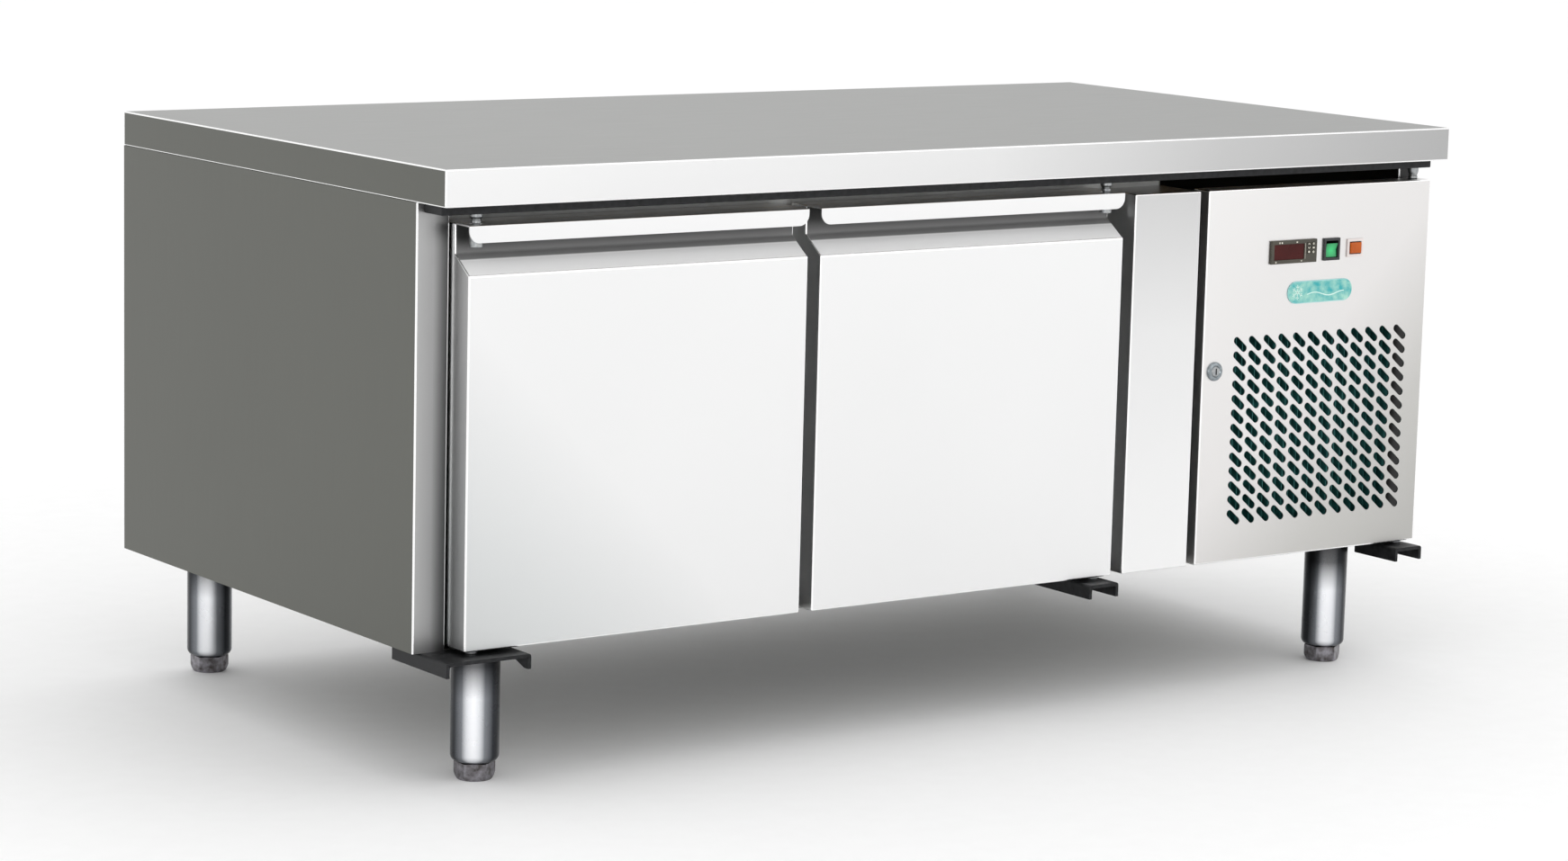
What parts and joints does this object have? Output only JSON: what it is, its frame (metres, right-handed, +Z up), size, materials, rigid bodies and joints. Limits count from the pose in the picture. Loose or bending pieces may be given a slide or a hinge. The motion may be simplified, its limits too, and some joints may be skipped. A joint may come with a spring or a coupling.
{
  "type": "under counter fridge",
  "caption": "Low stainless refrigerated counter on adjustable legs, with hinged doors that have integral finger recesses and a side cooling unit behind a slotted service panel.",
  "frame": {"origin": "on the floor, below the middle of the worktop", "axes": "+X to the right along the front, +Y towards the back, +Z up; the doors face -Y"},
  "size_m": [1.36, 0.7, 0.64],
  "materials": {
    "worktop_steel": "fine brushed stainless, satin",
    "panel_steel": "fine brushed stainless, satin",
    "front_steel": "bright satin stainless, fine vertical grain",
    "liner_steel": "plain stainless sheet",
    "leg_steel": "polished stainless tube",
    "chrome": "bright chromed",
    "zinc": "zinc plated steel",
    "dark_steel": "dark phosphated steel",
    "foam": "rigid polyurethane foam",
    "board": "chipboard core",
    "seal": "grey magnetic seal",
    "white_plastic": "satin moulded plastic",
    "black_plastic": "satin moulded plastic",
    "fins": "coated fins",
    "motor": "black enamel",
    "copper": "bare copper tube",
    "olive_plastic": "satin moulded plastic",
    "display": "smoked red window",
    "green_lens": "translucent green",
    "orange_lens": "translucent orange",
    "badge": "domed resin over printed film"
  },
  "bodies": {
    "cabinet": {"worktop": "worktop_steel", "worktop_core": "board", "hinge_rail": "dark_steel", "left_side_panel": "panel_steel", "right_side_panel": "panel_steel", "back_panel": "panel_steel", "base_panel": "panel_steel", "unit_wall": "panel_steel", "insulation": "foam", "cavity_liner": "liner_steel", "breaker_strips": "white_plastic", "centre_post": "white_plastic", "front_strip": "front_steel", "shelf_supports": "liner_steel", "wire_shelves": "chrome", "evaporator_coil": "fins", "evaporator_cover": "liner_steel", "evaporator_motor": "motor", "legs": "leg_steel", "hinge_brackets": "dark_steel", "hinge_pins": "zinc", "unit_base": "liner_steel", "compressor": "motor", "condenser_coil": "fins", "condenser_shroud": "dark_steel", "condenser_motor": "motor", "pipework": "copper", "electrical_box": "white_plastic", "cable_gland": "black_plastic"},
    "door_left": {"door_left_skin": "front_steel", "door_left_core": "foam", "door_left_liner": "liner_steel", "door_left_gasket": "seal", "door_left_bushes": "zinc"},
    "door_right": {"door_right_skin": "front_steel", "door_right_core": "foam", "door_right_liner": "liner_steel", "door_right_gasket": "seal", "door_right_bushes": "zinc"},
    "service_panel": {"service_panel": "front_steel", "lock_housing": "chrome", "controller_case": "olive_plastic", "controller_window": "display", "rocker_frame": "black_plastic", "pilot_lamp": "orange_lens", "badge": "badge"},
    "lock": {"lock_plug": "zinc"},
    "rocker": {"rocker_cap": "green_lens"},
    "condenser_fan": {"condenser_fan": "black_plastic"},
    "evaporator_fan": {"evaporator_fan": "black_plastic"},
    "key_up": {"key_up": "olive_plastic"},
    "key_down": {"key_down": "olive_plastic"},
    "key_set": {"key_set": "olive_plastic"},
    "key_light": {"key_light": "olive_plastic"},
    "key_defrost": {"key_defrost": "olive_plastic"},
    "key_power": {"key_power": "olive_plastic"},
    "foot_front_left": {"foot_front_left": "chrome"},
    "foot_front_right": {"foot_front_right": "chrome"},
    "foot_back_left": {"foot_back_left": "chrome"},
    "foot_back_right": {"foot_back_right": "chrome"}
  },
  "joints": [
    {"name": "door_left_hinge", "type": "hinge", "parent": "cabinet", "child": "door_left", "pos_m": [-0.624, -0.316, 0.36], "axis": [0, 0, -1], "range_deg": [0, 105]},
    {"name": "door_right_hinge", "type": "hinge", "parent": "cabinet", "child": "door_right", "pos_m": [0.19, -0.316, 0.36], "axis": [0, 0, 1], "range_deg": [0, 105]},
    {"name": "service_panel_hinge", "type": "hinge", "parent": "cabinet", "child": "service_panel", "pos_m": [0.657, -0.316, 0.36], "axis": [0, 0, 1], "range_deg": [0, 105]},
    {"name": "lock_turn", "type": "hinge", "parent": "service_panel", "child": "lock", "pos_m": [0.348, -0.316, 0.371], "axis": [0, 1, 0], "range_deg": [0, 90]},
    {"name": "rocker_tilt", "type": "hinge", "parent": "service_panel", "child": "rocker", "pos_m": [0.519, -0.3215, 0.503], "axis": [-1, 0, 0], "range_deg": [0, 14]},
    {"name": "key_up_press", "type": "slide", "parent": "service_panel", "child": "key_up", "axis": [0, 1, 0], "range_m": [0, 0.0008], "stiffness_N_per_m": 400},
    {"name": "key_down_press", "type": "slide", "parent": "service_panel", "child": "key_down", "axis": [0, 1, 0], "range_m": [0, 0.0008], "stiffness_N_per_m": 400},
    {"name": "key_set_press", "type": "slide", "parent": "service_panel", "child": "key_set", "axis": [0, 1, 0], "range_m": [0, 0.0008], "stiffness_N_per_m": 400},
    {"name": "key_light_press", "type": "slide", "parent": "service_panel", "child": "key_light", "axis": [0, 1, 0], "range_m": [0, 0.0008], "stiffness_N_per_m": 400},
    {"name": "key_defrost_press", "type": "slide", "parent": "service_panel", "child": "key_defrost", "axis": [0, 1, 0], "range_m": [0, 0.0008], "stiffness_N_per_m": 400},
    {"name": "key_power_press", "type": "slide", "parent": "service_panel", "child": "key_power", "axis": [0, 1, 0], "range_m": [0, 0.0008], "stiffness_N_per_m": 400},
    {"name": "condenser_fan_spin", "type": "hinge", "parent": "cabinet", "child": "condenser_fan", "pos_m": [0.507, -0.23, 0.2975], "axis": [0, 1, 0], "continuous": true},
    {"name": "evaporator_fan_spin", "type": "hinge", "parent": "cabinet", "child": "evaporator_fan", "pos_m": [0.2, -0.115, 0.372], "axis": [1, 0, 0], "continuous": true},
    {"name": "foot_front_left_height", "type": "slide", "parent": "cabinet", "child": "foot_front_left", "axis": [0, 0, -1], "range_m": [0, 0.03]},
    {"name": "foot_front_right_height", "type": "slide", "parent": "cabinet", "child": "foot_front_right", "axis": [0, 0, -1], "range_m": [0, 0.03]},
    {"name": "foot_back_left_height", "type": "slide", "parent": "cabinet", "child": "foot_back_left", "axis": [0, 0, -1], "range_m": [0, 0.03]},
    {"name": "foot_back_right_height", "type": "slide", "parent": "cabinet", "child": "foot_back_right", "axis": [0, 0, -1], "range_m": [0, 0.03]}
  ]
}
